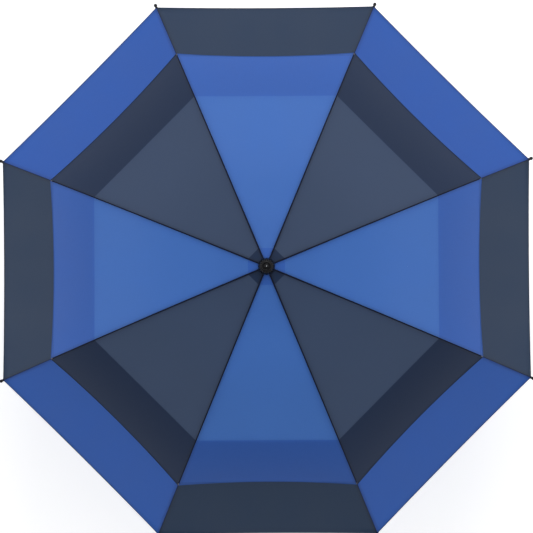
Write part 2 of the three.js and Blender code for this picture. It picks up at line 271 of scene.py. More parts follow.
def prism(name, outline, y0, y1, material, place, round_edge):
    """Plate of a convex (x, z) outline, from y0 to y1, with rounded edges."""
    count = len(outline)
    verts = [Vector((x, y, z)) for y in (y0, y1) for x, z in outline]
    faces = [tuple(range(count)), tuple(range(2 * count - 1, count - 1, -1))]
    for i in range(count):
        j = (i + 1) % count
        faces.append((i, i + count, j + count, j))
    obj = new_object(name, [place @ v for v in verts], faces, [material])
    obj.data.set_sharp_from_angle(angle=math.radians(35))
    edges = obj.modifiers.new("rounded_edges", "BEVEL")
    edges.width = round_edge
    edges.segments = 2
    edges.limit_method = "ANGLE"
    return obj


def finished(obj, body, slot, *nodes):
    """A piece put on its body, hiding the CAD nodes that it stands for; slot is not used."""
    if nodes:
        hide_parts(*nodes)
    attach(obj, body)
    return obj


# ---- materials ----
def srgb(r, g, b):
    """Linear colour from sRGB values of 0 to 255."""
    return tuple(
        ((c / 255 + 0.055) / 1.055) ** 2.4 if c > 10 else c / 255 / 12.92 for c in (r, g, b)
    )


class Nodes:
    """Small wrapper that builds a node tree in a few words."""

    def __init__(self, name):
        self.material = bpy.data.materials.new(name)
        self.material.use_nodes = True
        self.tree = self.material.node_tree
        self.tree.nodes.clear()

    def add(self, kind, inputs=None, **settings):
        node = self.tree.nodes.new(kind)
        for key, value in settings.items():
            setattr(node, key, value)
        for key, value in (inputs or {}).items():
            if isinstance(value, bpy.types.NodeSocket):
                self.tree.links.new(value, node.inputs[key])
            else:
                node.inputs[key].default_value = value
        return node

    def math(self, operation, a, b=0.0, clamp=False):
        node = self.add("ShaderNodeMath", {0: a, 1: b}, operation=operation, use_clamp=clamp)
        return node.outputs[0]

    def mix(self, factor, a, b, blend="MIX"):
        node = self.add("ShaderNodeMix", data_type="RGBA", blend_type=blend)
        for index, value in ((0, factor), (6, a), (7, b)):
            if isinstance(value, bpy.types.NodeSocket):
                self.tree.links.new(value, node.inputs[index])
            else:
                node.inputs[index].default_value = value
        return node.outputs[2]

    def noise(self, vector, scale, detail=2.0, roughness=0.5):
        node = self.add(
            "ShaderNodeTexNoise",
            {"Vector": vector, "Scale": scale, "Detail": detail, "Roughness": roughness},
        )
        return node.outputs["Fac"]

    def scaled(self, vector, x, y, z):
        node = self.add("ShaderNodeVectorMath", {0: vector, 1: (x, y, z)}, operation="MULTIPLY")
        return node.outputs[0]

    def bump(self, height, strength, distance, normal=None):
        inputs = {"Height": height, "Strength": strength, "Distance": distance}
        if normal is not None:
            inputs["Normal"] = normal
        return self.add("ShaderNodeBump", inputs).outputs[0]

    def range(self, value, low, high, to_low=0.0, to_high=1.0):
        node = self.add(
            "ShaderNodeMapRange",
            {0: value, 1: low, 2: high, 3: to_low, 4: to_high},
        )
        return node.outputs[0]

    def output(self, shader):
        self.add("ShaderNodeOutputMaterial", {"Surface": shader})
        return self.material


def rgba(colour, gain=1.0):
    return tuple(c * gain for c in colour) + (1.0,)


YARN_PITCH = 0.55 * MM
STITCH_PITCH, STITCH_SHARE, STITCH_HALF = 2.8 * MM, 0.72, 0.35 * MM
SEAM_ROW, HEM_ROW = 2.6 * MM, 5 * MM  # rows of stitches, from the rib's seam and the free hem
HEM_WIDTH = 6 * MM  # of the cloth folded under at the free hem
SEAM_SHADE_FADE = 5.2 * MM, 6 * MM  # where the painted shade beside the seam fades out


def cloth(name, colour, through, light_share):
    """Pongee: a fine plain weave with a soft sheen, lit through from behind by light_share.

    UV map 'cloth' runs across and along the gore in metres; 'hems' holds the distance from the
    rib's seam and from the free hem.
    """
    n = Nodes(name)
    uv = n.add("ShaderNodeUVMap", uv_map="cloth").outputs[0]
    hems = n.add("ShaderNodeUVMap", uv_map="hems").outputs[0]
    split = n.add("ShaderNodeSeparateXYZ", {0: hems})
    from_seam, from_hem = split.outputs[0], split.outputs[1]
    where = n.add("ShaderNodeSeparateXYZ", {0: uv})
    across, along = where.outputs[0], where.outputs[1]

    # yarns: slight streaks along warp and weft, and the weave's own relief
    warp = n.noise(n.scaled(uv, 2400.0, 60.0, 0.0), 1.0, 1.0)
    weft = n.noise(n.scaled(uv, 60.0, 2400.0, 0.0), 1.0, 1.0)
    streaks = n.math("ADD", n.math("MULTIPLY", warp, 0.5), n.math("MULTIPLY", weft, 0.5))
    mottle = n.noise(n.scaled(uv, 9.0, 6.0, 0.0), 1.0, 3.0)
    streaky = n.range(streaks, 0.3, 0.7, 0.95, 1.05)
    shade = n.math("ADD", streaky, n.range(mottle, 0.3, 0.7, -0.03, 0.03))
    yarn = 2 * math.pi / YARN_PITCH
    over = n.math("SINE", n.math("MULTIPLY", across, yarn))
    under = n.math("SINE", n.math("MULTIPLY", along, yarn))
    weave = n.math("MULTIPLY", over, under)

    def stitched(distance, at, run):
        off = n.math("ABSOLUTE", n.math("SUBTRACT", distance, at))
        near = n.math("LESS_THAN", off, STITCH_HALF)
        turn = n.math("FRACT", n.math("MULTIPLY", run, 1 / STITCH_PITCH))
        return n.math("MULTIPLY", near, n.math("LESS_THAN", turn, STITCH_SHARE))

    stitches = n.math(
        "MAXIMUM", stitched(from_seam, SEAM_ROW, along), stitched(from_hem, HEM_ROW, across)
    )
    fold_and_shade = n.math("LESS_THAN", from_hem, HEM_WIDTH)
    seam_shade = n.range(from_seam, *SEAM_SHADE_FADE, 0.3, 0.0)

    tone = n.add("ShaderNodeCombineColor", {0: shade, 1: shade, 2: shade}).outputs[0]
    base = n.mix(1.0, rgba(colour), tone, "MULTIPLY")
    # Painted shade: the folded hem is darkened as if its two layers held back the light from behind.
    base = n.mix(n.math("MULTIPLY", fold_and_shade, 0.35), base, rgba(colour, 0.72))
    # Painted shade in a band beside the rib's seam.
    base = n.mix(seam_shade, base, rgba(colour, 0.7))
    base = n.mix(n.math("MULTIPLY", stitches, 0.8), base, rgba(colour, 0.45))

    relief = n.bump(weave, 0.25, 0.06 * MM)
    sewn = n.math("ADD", stitches, n.math("MULTIPLY", fold_and_shade, 0.6))
    relief = n.bump(sewn, 0.5, 0.3 * MM, relief)
    relief = n.bump(n.noise(n.scaled(uv, 14.0, 5.0, 0.0), 1.0, 2.0), 0.12, 4 * MM, relief)
    skin = n.add(
        "ShaderNodeBsdfPrincipled",
        {
            "Base Color": base,
            "Roughness": n.range(mottle, 0.3, 0.7, 0.5, 0.6),
            "Specular IOR Level": 0.32,
            "Sheen Weight": 0.25,
            "Sheen Roughness": 0.4,
            "Sheen Tint": rgba(srgb(200, 214, 240)),
            "Normal": relief,
        },
    )
    lit = n.add("ShaderNodeBsdfTranslucent", {"Color": rgba(through), "Normal": relief})
    both = n.add("ShaderNodeMixShader", {0: light_share, 1: skin.outputs[0], 2: lit.outputs[0]})
    return n.output(both.outputs[0])


def moulded(name, colour, roughness, grain=1800.0, depth=0.00005, coat=0.0, gloss=0.4):
    """Moulded plastic or rubber, with a fine grain and faint handling wear."""
    n = Nodes(name)
    place = n.add("ShaderNodeTexCoord").outputs["Object"]
    texture = n.noise(place, grain, 2.0)
    smudge = n.noise(place, 60.0, 4.0, 0.6)
    base = n.mix(n.range(smudge, 0.35, 0.75), rgba(colour, 0.85), rgba(colour, 1.3))
    skin = n.add(
        "ShaderNodeBsdfPrincipled",
        {
            "Base Color": base,
            "Roughness": n.range(smudge, 0.3, 0.7, roughness - 0.06, roughness + 0.08),
            "Specular IOR Level": gloss,
            "Coat Weight": coat,
            "Normal": n.bump(texture, 0.35, depth),
        },
    )
    return n.output(skin.outputs[0])


def metal(name, colour, roughness, brushed=(1.0, 1.0, 1.0), worn=0.0, stained=0.3, drawn=0.15):
    """Plated steel: fine drawing lines, faint stains, and bare steel showing where worn."""
    n = Nodes(name)
    place = n.add("ShaderNodeTexCoord").outputs["Object"]
    lines = n.noise(n.scaled(place, *(900.0 * b for b in brushed)), 1.0, 2.0)
    stain = n.noise(place, 45.0, 4.0, 0.6)
    rub = n.range(n.noise(place, 320.0, 5.0, 0.7), 0.6, 0.75, 0.0, worn)
    base = n.mix(rub, rgba(colour), rgba(srgb(150, 152, 156)))
    base = n.mix(n.range(stain, 0.4, 0.8, 0.0, stained), base, rgba(colour, 0.6))
    skin = n.add(
        "ShaderNodeBsdfPrincipled",
        {
            "Base Color": base,
            "Metallic": 0.9,
            "Roughness": n.range(lines, 0.3, 0.7, roughness - drawn / 2, roughness + drawn / 2),
            "Normal": n.bump(lines, drawn, 0.00004),
        },
    )
    return n.output(skin.outputs[0])


# (colour, colour with light behind it, share of light let through)
FABRICS = {
    "royal": (srgb(46, 94, 179), srgb(107, 163, 231), 0.2),
    "navy": (srgb(43, 59, 89), srgb(108, 131, 158), 0.12),
    # Painted shade: the two-layer copies are darker, for light held back by a second layer of cloth and
    # for the upper canopy's shade on the ring.
    "royal_double_shaded": (srgb(46, 95, 182), srgb(74, 132, 240), 0.08),
    "navy_double_shaded": (srgb(12, 37, 70), srgb(20, 62, 105), 0.05),
    # Painted shade: the ring copies are darker than royal and navy, for the ring's steeper, less lit
    # slope.
    "royal_ring": (srgb(26, 72, 160), srgb(67, 127, 207), 0.2),
    "navy_ring": (srgb(18, 39, 68), srgb(52, 90, 122), 0.12),
}
fabrics = {name: cloth(f"pongee_{name}", *look) for name, look in FABRICS.items()}
seam_cloth = moulded("seam_cloth", srgb(20, 32, 60), 0.75, 2600.0, gloss=0.2)
binding = moulded("seam_thread", srgb(18, 24, 44), 0.8, 2600.0, gloss=0.15)
pale_thread = moulded("pale_thread", srgb(138, 140, 150), 0.7, 2600.0, gloss=0.3)
black_plastic = moulded("black_plastic", srgb(7, 7, 13), 0.3, coat=0.05, gloss=0.2)
soft_touch = moulded("soft_touch_rubber", srgb(20, 21, 23), 0.66, 2600.0, 0.00008, gloss=0.3)
glass_fibre = moulded("glass_fibre_rod", srgb(24, 26, 30), 0.3, 900.0, 0.00002, 0.3)
bright_steel = metal("satin_steel", srgb(188, 192, 198), 0.28, (1.0, 1.0, 0.06))
satin_tube = metal("drawn_tube", srgb(176, 180, 186), 0.26, (1.0, 1.0, 0.04), stained=0.06, drawn=0.05)
black_steel = metal("black_steel", srgb(52, 54, 58), 0.36, worn=0.5)

# ---- camera, floor and light ----
CAMERA_HEIGHT = 3.0  # over the hub
CAMERA_BACK = 0.07  # towards -Y
CAMERA_ROLL = -0.3  # degrees
LENS = 119.4  # mm, on a 36 mm sensor
SKY, SKY_TILT, SKY_UP = 0.68, 0.35, -0.16  # strength at the horizon, its gain to +Y and upwards
FLOOR_HALF, FLOOR_GLOW = 12.0, 0.45
KEY_POWER, SIDE_POWER = 31, 15


def add_camera():
    data = bpy.data.cameras.new("camera")
    camera = bpy.data.objects.new("camera", data)
    bpy.context.scene.collection.objects.link(camera)
    bpy.context.scene.camera = camera
    target = Vector((0, 0, hub[1]))
    camera.location = target + Vector((0, -CAMERA_BACK, CAMERA_HEIGHT))
    aim = (target - camera.location).to_track_quat("-Z", "Y")
    roll = Matrix.Rotation(math.radians(CAMERA_ROLL), 3, "Z")
    camera.rotation_euler = (aim.to_matrix() @ roll).to_euler()
    data.sensor_width = 36
    data.lens = LENS
    data.clip_end = 50


def add_light(name, location, size, energy):
    """White area light that faces the origin."""
    data = bpy.data.lights.new(name, "AREA")
    data.size = size
    data.energy = energy
    light = bpy.data.objects.new(name, data)
    bpy.context.scene.collection.objects.link(light)
    light.location = location
    light.rotation_euler = (-Vector(location)).to_track_quat("-Z", "Y").to_euler()


def add_floor():
    n = Nodes("pale_floor")
    place = n.add("ShaderNodeTexCoord").outputs["Object"]
    tone = n.range(n.noise(place, 3.0, 3.0), 0.3, 0.7, 0.94, 0.96)
    base = n.add("ShaderNodeCombineColor", {0: tone, 1: tone, 2: tone}).outputs[0]
    skin = n.add(
        "ShaderNodeBsdfPrincipled",
        {"Base Color": base, "Roughness": 0.9, "Emission Color": (1, 1, 1, 1),
         "Emission Strength": FLOOR_GLOW},
    )
    corners = [(x * FLOOR_HALF, y * FLOOR_HALF, 0) for x, y in ((-1, -1), (1, -1), (1, 1), (-1, 1))]
    floor = new_object("floor", corners, [(0, 1, 2, 3)], [n.output(skin.outputs[0])])
    floor.location.z = -0.5 * MM


def add_sky():
    """Soft white sky, brighter towards +Y."""
    world = bpy.data.worlds.new("studio")
    world.use_nodes = True
    tree = world.node_tree
    where = tree.nodes.new("ShaderNodeSeparateXYZ")
    tree.links.new(tree.nodes.new("ShaderNodeTexCoord").outputs["Generated"], where.inputs[0])
    gains = []
    for axis, slope in ((1, SKY_TILT), (2, SKY_UP)):
        gain = tree.nodes.new("ShaderNodeMath")
        gain.operation = "MULTIPLY_ADD"
        gain.inputs[1].default_value = slope
        tree.links.new(where.outputs[axis], gain.inputs[0])
        gains.append(gain)
    gains[0].inputs[2].default_value = SKY
    tree.links.new(gains[0].outputs[0], gains[1].inputs[2])
    tree.links.new(gains[1].outputs[0], tree.nodes["Background"].inputs[1])
    tree.nodes["Background"].inputs[0].default_value = (1, 1, 1, 1)
    bpy.context.scene.world = world
    bpy.context.scene.view_settings.view_transform = "Standard"


add_camera()
add_floor()
add_sky()
add_light("key", (0.3, 2.8, 3.0), 1.8, KEY_POWER)
for side in (-1, 1):
    add_light(f"side_{side + 2}", (side * 3.2, 0, 1.5), 1.6, SIDE_POWER)


# ---- canopy ----
DIP_UPPER, DIP_RING = 5 * MM, 8 * MM  # how far the middle of a gore hangs under its ribs
CAP_CLEAR_R = 15 * MM  # the canopy turns with the ribs outside this, and stays with the hub inside
STEP_R = 11 * MM  # mesh step along a rib
ACROSS = 9  # mesh points across half a gore
HEM_ROLL = 0.65 * MM
SEAM_HEIGHT = 0.45 * MM
SEAM_WIDTHS = ((20 * MM, 3.1 * MM), (120 * MM, 2.6 * MM), (VENT_R, 2.1 * MM))  # (radius, width)
RING_SEAM = 1.1 * MM
BOW_VENT, BOW_RIM = 6 * MM, 1 * MM  # how far the middle of a free hem is drawn in
NUDGE = 0.001  # share of the way by which a surface's slope is measured


def fold_line(knee_r, slope):
    """Cut between two sections: square to the rib, within the cloth."""
    lean = math.sin(math.radians(slope)) ** 2 * TAN
    return lambda q: knee_r / (1 + lean * q * TAN)


def row(corner_r, bow=0.0):
    return lambda q: row_x(corner_r, q, bow)


inner_fold = fold_line(knee[0], KNEE_SLOPE)
outer_fold = fold_line(outer_knee[0], OUTER_KNEE_SLOPE)
vent_hem, rim_hem = row(VENT_R, BOW_VENT), row(rim_r, BOW_RIM)

# (section, layer): the lines across a half gore, and whether the cloth between them lies in two layers
# or in the upper canopy's shade, and so takes the darker cloth copy as painted shade
CUTS = {
    ("top", "canopy"): ([row(CAP_CLEAR_R), row(CROWN_R), inner_fold], [True, False]),
    ("middle", "canopy"): ([inner_fold, row(RING_R), outer_fold], [False, True]),
    ("outer", "canopy"): ([outer_fold, vent_hem], [True]),
    ("middle", "ring"): ([row(RING_R), outer_fold], [True]),
    ("outer", "ring"): ([outer_fold, row(COVERED_R, BOW_VENT), rim_hem], [True, False]),
}


def fold_joint(section, k):
    """The joint whose travel folds this section of rib k."""
    return "canopy_fold" if (section, k) == ("top", 1) else f"{section}_rib_{k}_fold"


def half_gore(name, height, dip, cuts, doubled_and_shaded, hem_r, azimuth, side, looks):
    """Half a gore beside a rib, between the cuts, as an open sheet.

    looks is (single, two-layer) cloth; the two-layer copy is darker, painted shade.
    """
    points, normals, cloth_uv, hem_uv, zones = [], [], [], [], []

    def at(x, q):
        p = cloth_point(height, x, q, dip)
        return Vector((p.x, p.y * side, p.z))

    levels = [(cuts[0], cuts[0], 0.0)]
    for low, high, double in zip(cuts, cuts[1:], doubled_and_shaded):
        count = max(1, round((high(0) - low(0)) / STEP_R))
        levels += [(low, high, (i + 1) / count) for i in range(count)]
        zones += [1 if double else 0] * count
    for low, high, share in levels:
        for j in range(ACROSS):
            q = j / (ACROSS - 1)
            x = low(q) + (high(q) - low(q)) * share
            r = x * (1 + q * TAN**2)
            along = at(x + NUDGE * x, q) - at(x - NUDGE * x, q)
            across = at(x, min(q + NUDGE, 1)) - at(x, max(q - NUDGE, 0))
            points.append(at(x, q))
            normals.append((along.cross(across) * side).normalized())
            cloth_uv.append((r * math.sin(HALF) - x * q * TAN / math.cos(HALF), r * 1.02))
            hem_uv.append((x * q * TAN, abs(hem_r - r) * 1.1))
    faces, indices = [], []
    for i, zone in enumerate(zones):
        for j in range(ACROSS - 1):
            a = i * ACROSS + j
            quad = (a, a + ACROSS, a + ACROSS + 1, a + 1)
            faces.append(quad if side > 0 else quad[::-1])
            indices.append(zone)
    return new_object(
        name, turned(points, azimuth), faces, looks, indices,
        {"cloth": cloth_uv, "hems": hem_uv}, True, turned(normals, azimuth),
    )


def gather_frame(height, dip, cuts, azimuth, side):
    """(point on the rib, direction along it, direction in which the cloth gathers to it)."""
    low, high = cuts[0](0), cuts[-1](0)
    ends = [cloth_point(height, x, 0, dip) for x in (low, high)]
    anchor = (ends[0] + ends[1]) / 2
    along = (ends[1] - ends[0]).normalized()
    away = cloth_point(height, (low + high) / 2, 1, dip) - anchor
    away = (away - along * away.dot(along)).normalized()
    away.y *= side
    return turned([anchor, along, away], azimuth)


def gore_beside(k, side):
    """Number of the gore on that side of rib k."""
    return k if side < 0 else k % RIBS + 1


def gore_colours(gore):
    """Colour names (upper, lower) of a gore."""
    return ("royal", "navy") if gore % 2 else ("navy", "royal")


def hem_roll(name, height, dip, cut, azimuth, side, material):
    """The rolled edge of a free hem, along half a gore."""
    path = []
    for j in range(2 * ACROSS - 1):
        q = j / (2 * ACROSS - 2)
        p = cloth_point(height, cut(q), q, dip)
        path.append(Vector((p.x, p.y * side, p.z)))
    obj = tube_along(name, path, circle(HEM_ROLL, 8, 0.8), material)
    obj.data.transform(Matrix.Rotation(azimuth, 4, "Z"))
    return obj


def seam(name, height, low, high, azimuth, body):
    """The felled seam over a rib: a low welt that narrows outwards, proud of the cloth."""
    w, h = 0.5, SEAM_HEIGHT
    ring = [(-w, -1.6 * h), (w, -1.6 * h), (w, -0.5 * h), (0.6 * w, 0.7 * h), (0, h),
            (-0.6 * w, 0.7 * h), (-w, -0.5 * h)]
    count = max(2, round((high - low) / STEP_R))
    stations = np.linspace(low, high, count + 1)
    path = [cloth_point(height, x, 0, 0) for x in stations]
    upper = height is upper_height
    widths = np.interp(stations, *zip(*SEAM_WIDTHS)) if upper else [RING_SEAM] * len(stations)
    obj = tube_along(name, path, ring, binding if upper else seam_cloth, widths=widths)
    obj.data.transform(Matrix.Rotation(azimuth, 4, "Z"))
    return finished(obj, body, "fabric_navy")


def bar_tack(k):
    """Close zigzag of pale thread that locks the seam at a corner of the vent."""
    points, start, pitch, half = 13, VENT_R - 3.4 * MM, 0.24 * MM, 1.15 * MM
    path = []
    for i in range(points):
        over = Vector((0, half if i % 2 else -half, SEAM_HEIGHT + 0.12 * MM))
        path.append(cloth_point(upper_height, start + i * pitch, 0, 0) + over)
    obj = tube_along(f"bar_tack_{k}", path, circle(0.16 * MM, 6), pale_thread)
    obj.data.transform(Matrix.Rotation(rib_azimuth(k), 4, "Z"))
    finished(obj, f"outer_rib_{k}", "fabric_navy")


def dress_rib(k):
    """Both half gores beside rib k, in both canopies, with their seams and hems."""
    azimuth = rib_azimuth(k)
    for (section, layer), (cuts, doubled_and_shaded) in CUTS.items():
        body, joint = f"{section}_rib_{k}", fold_joint(section, k)
        top = layer == "canopy"
        height, dip = (upper_height, DIP_UPPER) if top else (ring_height, DIP_RING)
        hem_r = VENT_R if top else rim_r
        welt = None
        if top or section == "outer":
            low = cuts[0](0) if top else COVERED_R
            welt = seam(f"seam_{layer}_{section}_{k}", height, low, cuts[-1](0), azimuth, body)
        for side, label in ((1, "left"), (-1, "right")):
            gore = gore_beside(k, side)
            colour = gore_colours(gore)[0 if top else 1]
            # Painted shade: the ring's cloth and the two-layer cloth are darker copies of the gore's
            # colour.
            looks = [fabrics[colour + ("" if top else "_ring")], fabrics[colour + "_double_shaded"]]
            sheet = half_gore(f"{layer}_{section}_{k}_{label}", height, dip, cuts, doubled_and_shaded, hem_r,
                              azimuth, side, looks)
            finished(sheet, body, f"fabric_{colour}", f"{'upper' if top else 'lower'}_gore_{gore}")
            with_pieces = [welt] if welt and side > 0 else []
            soft = [sheet]
            if section == "outer":
                # The vent's hem roll takes the darker two-layer cloth copy: painted shade along the hem.
                roll = hem_roll(f"hem_{layer}_{k}_{label}", height, dip, cuts[-1], azimuth, side,
                                looks[1] if top else binding)
                with_pieces.append(finished(roll, body, f"fabric_{colour}"))
                soft.append(roll)
            anchor, along, away = gather_frame(height, dip, cuts, azimuth, side)
            for piece in soft:
                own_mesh(piece)


def crown():
    """The cloth under the cap: one eight-sided collar that stays with the notch."""
    rows = [CLOTH_R0, 9 * MM, 12 * MM, CAP_CLEAR_R + 0.6 * MM]
    points, cloth_uv, hem_uv, faces, indices = [], [], [], [], []
    for k in range(1, RIBS + 1):
        for side in (1, -1):
            first, colour = len(points), gore_colours(gore_beside(k, side))[0]
            for r in rows:
                for j in range(ACROSS):
                    q = j / (ACROSS - 1)
                    p = cloth_point(upper_height, row_x(r, q), q, DIP_UPPER)
                    points += turned([(p.x, p.y * side, p.z + 0.3 * MM)], rib_azimuth(k))
                    cloth_uv.append((p.y, r))
                    hem_uv.append((p.y, 0.02))
            for i in range(len(rows) - 1):
                for j in range(ACROSS - 1):
                    a = first + i * ACROSS + j
                    quad = (a, a + ACROSS, a + ACROSS + 1, a + 1)
                    faces.append(quad if side > 0 else quad[::-1])
                    indices.append(0 if colour == "navy" else 1)
    # A real second layer of cloth; its darker cloth copies paint the shade that the extra layer gives.
    obj = new_object(
        "crown_collar", points, faces, [fabrics["navy_double_shaded"], fabrics["royal_double_shaded"]], indices,
        {"cloth": cloth_uv, "hems": hem_uv},
    )
    finished(obj, "upper_shaft", "fabric_navy")
    side = 2 * rows[-1] * math.cos(HALF)


for k in range(1, RIBS + 1):
    dress_rib(k)
    bar_tack(k)
crown()


# ---- rib frame ----
PIVOTS = {  # the body that each rivet rides on, and where it sits on rib 1
    "knee": ("middle_rib", knee),
    "outer": ("outer_rib", outer_knee),
    "strut": ("stretcher", strut_eye),
}
TIES = {"top": (120, 4.6), "middle": (95, 5), "outer": (105, 3.1)}  # (along, over the centreline), mm
RIVET = [(0, -2.3), (0.55, -2.25), (1.0, -2.05), (1.3, -1.62), (0.6, -1.6),
         (0.6, 1.6), (1.3, 1.62), (1.0, 2.05), (0.55, 2.25), (0, 2.3)]
TIP_PROFILE = [  # (radius, distance along the rib past the hem), mm
    (1.6, -9.5), (2.3, -9.2), (2.55, -8.2), (2.2, -6.4), (1.9, -3), (1.9, 1.0), (2.4, 1.6), (2.6, 2.6),
    (2.3, 3.8), (1.8, 5.0), (1.75, 5.9), (2.15, 6.5), (2.75, 7.3), (3.05, 8.4), (3.1, 9.5), (2.95, 10.8),
    (2.5, 11.9), (1.75, 12.6), (0.85, 12.95), (0, 13),
]


def eye_outline(radius, x0, x1, half, centre):
    """Round eye about the pivot, with a straight foot from x0 to x1."""
    points = [(radius * math.cos(a), radius * math.sin(a))
              for a in (2 * math.pi * i / 24 for i in range(24))]
    points += [(x0, centre - half), (x1, centre - half), (x1, centre + half), (x0, centre + half)]
    return hull(points)


def hull(points):
    """Convex outline round (x, z) points, anticlockwise."""
    ordered = sorted(set(points))

    def chain(line):
        out = []
        for p in line:
            while len(out) > 1 and (
                (out[-1][0] - out[-2][0]) * (p[1] - out[-2][1])
                - (out[-1][1] - out[-2][1]) * (p[0] - out[-2][0]) <= 1e-14
            ):
                out.pop()
            out.append(p)
        return out[:-1]

    return chain(ordered) + chain(ordered[::-1])


def outer_rib(k):
    """Knuckle with its two cheeks, the glass-fibre rod that it holds, and the moulded tip."""
    place = section_place("outer", k)
    body = f"outer_rib_{k}"
    centre = CENTRE["outer"]
    outline = eye_outline(2.2 * MM, 7 * MM, 17 * MM, 1.7 * MM, centre)
    for y0, y1, label in ((0.9, 1.6, "a"), (-1.6, -0.9, "b")):
        cheek = prism(f"knuckle_cheek_{label}_{k}", outline, y0 * MM, y1 * MM, black_steel, place,
                      0.12 * MM)
        finished(cheek, body, "black_steel")
    along = place @ Matrix.Translation((0, 0, centre)) @ Matrix.Rotation(math.pi / 2, 4, "Y")
    core = rounded(
        [(0, 8), (1.25, 8), (1.25, 16), (2.15, 16.4), (2.15, 22), (1.5, 22.4), (0, 22.4)], 0.4
    )
    ferrule = lathe(f"knuckle_{k}", [(r * MM, x * MM) for r, x in core], black_steel, 32, place=along)
    finished(ferrule, body, "black_steel")
    reach = OUTER_LENGTH - 8 * MM
    profile = [(0, 21 * MM), (1.5 * MM, 21 * MM), (1.5 * MM, reach), (0, reach)]
    rod = lathe(f"rod_{k}", profile, glass_fibre, 28, place=along)
    finished(rod, body, "glass_rod")
    profile = [(0, OUTER_LENGTH + TIP_PROFILE[0][1] * MM)]
    profile += [(r * MM, OUTER_LENGTH + x * MM) for r, x in TIP_PROFILE]
    tip = lathe(f"rib_tip_{k}", profile, black_plastic, 36, place=along, sharp=60)
    finished(tip, body, "plastic", f"outer_rib_{k}")


def thread_tie(section, k, at, over):
    """Two turns of thread that tie the canopy's seam to a rib."""
    place = section_place(section, k)
    half, low, top = 2.0 * MM, CENTRE[section] - 2.0 * MM, CENTRE[section] + over
    corners = [(half, low), (half, top), (-half, top), (-half, low)]
    for turn in (0, 1):
        x = at + turn * 0.9 * MM
        path = [Vector((x, y, z)) for y, z in rounded(corners, 1.6 * MM, 4, loop=True)]
        obj = tube_along(f"tie_{section}_{k}_{turn + 1}", path, circle(0.28 * MM, 6), binding,
                         True, place, (1, 0, 0))
        finished(obj, f"{section}_rib_{k}", "fabric_navy")


for k in range(1, RIBS + 1):
    outer_rib(k)
    for label, (body, (r, z)) in PIVOTS.items():
        turn = Matrix.Rotation(rib_azimuth(k), 4, "Z") @ Matrix.Translation((r, 0, z))
        place = turn @ Matrix.Rotation(-math.pi / 2, 4, "X")
        rivet = lathe(f"rivet_{label}_{k}", [(a * MM, b * MM) for a, b in RIVET], bright_steel, 20,
                      place=place, sharp=40)
        finished(rivet, f"{body}_{k}", "steel")
    for section, (at, over) in TIES.items():
        thread_tie(section, k, at * MM, over * MM)

# CAD ribs, hub and runner keep their shape, with softened edges
for name, node in frame["nodes"].items():
    if node.hide_render:
        continue
    kind = name.rstrip("12345678").rstrip("_")
    look = {"top_rib": black_steel, "middle_rib": black_steel, "stretcher": black_steel,
            "notch_wire": bright_steel}.get(kind, black_plastic)
    for i in range(len(node.data.materials)):
        node.data.materials[i] = look
    weld = node.modifiers.new("weld", "WELD")
    weld.merge_threshold = 0.002 * MM
    edges = node.modifiers.new("soft_edges", "BEVEL")
    edges.width = (0.35 if kind in ("runner", "top_notch") else 0.12) * MM
    edges.segments = 2
    edges.limit_method = "ANGLE"
    edges.angle_limit = math.radians(40)


# ---- hub cap, shaft and runner ----
def ferrule_cap():
    """Fluted cap with a ring groove, a domed centre and a small steel pin."""
    base, segments, flutes = hub[1] + 5.8 * MM, 240, 20
    corners = [(5.3, 8.7), (5.3, 0), (13.9, 0), (14.8, 0.7), (14.9, 3.4), (14.6, 7), (13.8, 10.6),
               (12.4, 13.6), (10.4, 16), (8.0, 17.6), (6.6, 17.9), (5.9, 17.3), (5.3, 17.1), (4.7, 17.6),
               (4.0, 18.7), (2.8, 19.3), (1.6, 19.45), (0, 19.45)]
    profile = rounded(corners, 0.8, 3)
    obj = lathe("hub_cap", [(0, 8.7 * MM)] + [(r * MM, z * MM) for r, z in profile], black_plastic,
                segments, place=Matrix.Translation((0, 0, base)), sharp=50)
    for v in obj.data.vertices:
        r = math.hypot(v.co.x, v.co.y)
        reach = min(1, max(0, (r - 6.8 * MM) / (3 * MM)))
        if v.co.z > base + 0.3 * MM:
            groove = 0.5 - 0.5 * math.cos(math.atan2(v.co.y, v.co.x) * flutes)
            share = 1 - 0.85 * MM * reach * groove**2 / max(r, MM)
            v.co.x *= share
            v.co.y *= share
            v.co.z -= 0.5 * MM * reach * groove**2
    finished(obj, "upper_shaft", "plastic", "ferrule_cap")
    pin = rounded([(0, 19.2), (1.0, 19.2), (1.0, 19.65), (0.6, 19.9), (0, 20)], 0.2, 3)
    pin = lathe("cap_pin", [(r * MM, z * MM) for r, z in pin], bright_steel, 24,
                place=Matrix.Translation((0, 0, base)))
    finished(pin, "upper_shaft", "steel")


def shaft_tube(name, node, body, wall):
    """Drawn steel tube with rolled ends, as long and wide as its CAD node."""
    low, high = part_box(node)
    corners = [(high.x - wall, low.z), (high.x, low.z), (high.x, high.z), (high.x - wall, high.z)]
    finished(lathe(name, rounded(corners, 0.25 * MM, 3, loop=True), satin_tube, 72, loop=True),
             body, "steel", node)


def ring_part(name, corners, body, slot, material, *nodes, radius=0.6, segments=72):
    """Closed ring or cup through (radius, height) corners in millimetres."""
    loop = corners[0][0] > 0
    profile = [(r * MM, z * MM) for r, z in rounded(corners, radius, 4, loop=loop)]
    return finished(lathe(name, profile, material, segments, loop=loop), body, slot, *nodes)


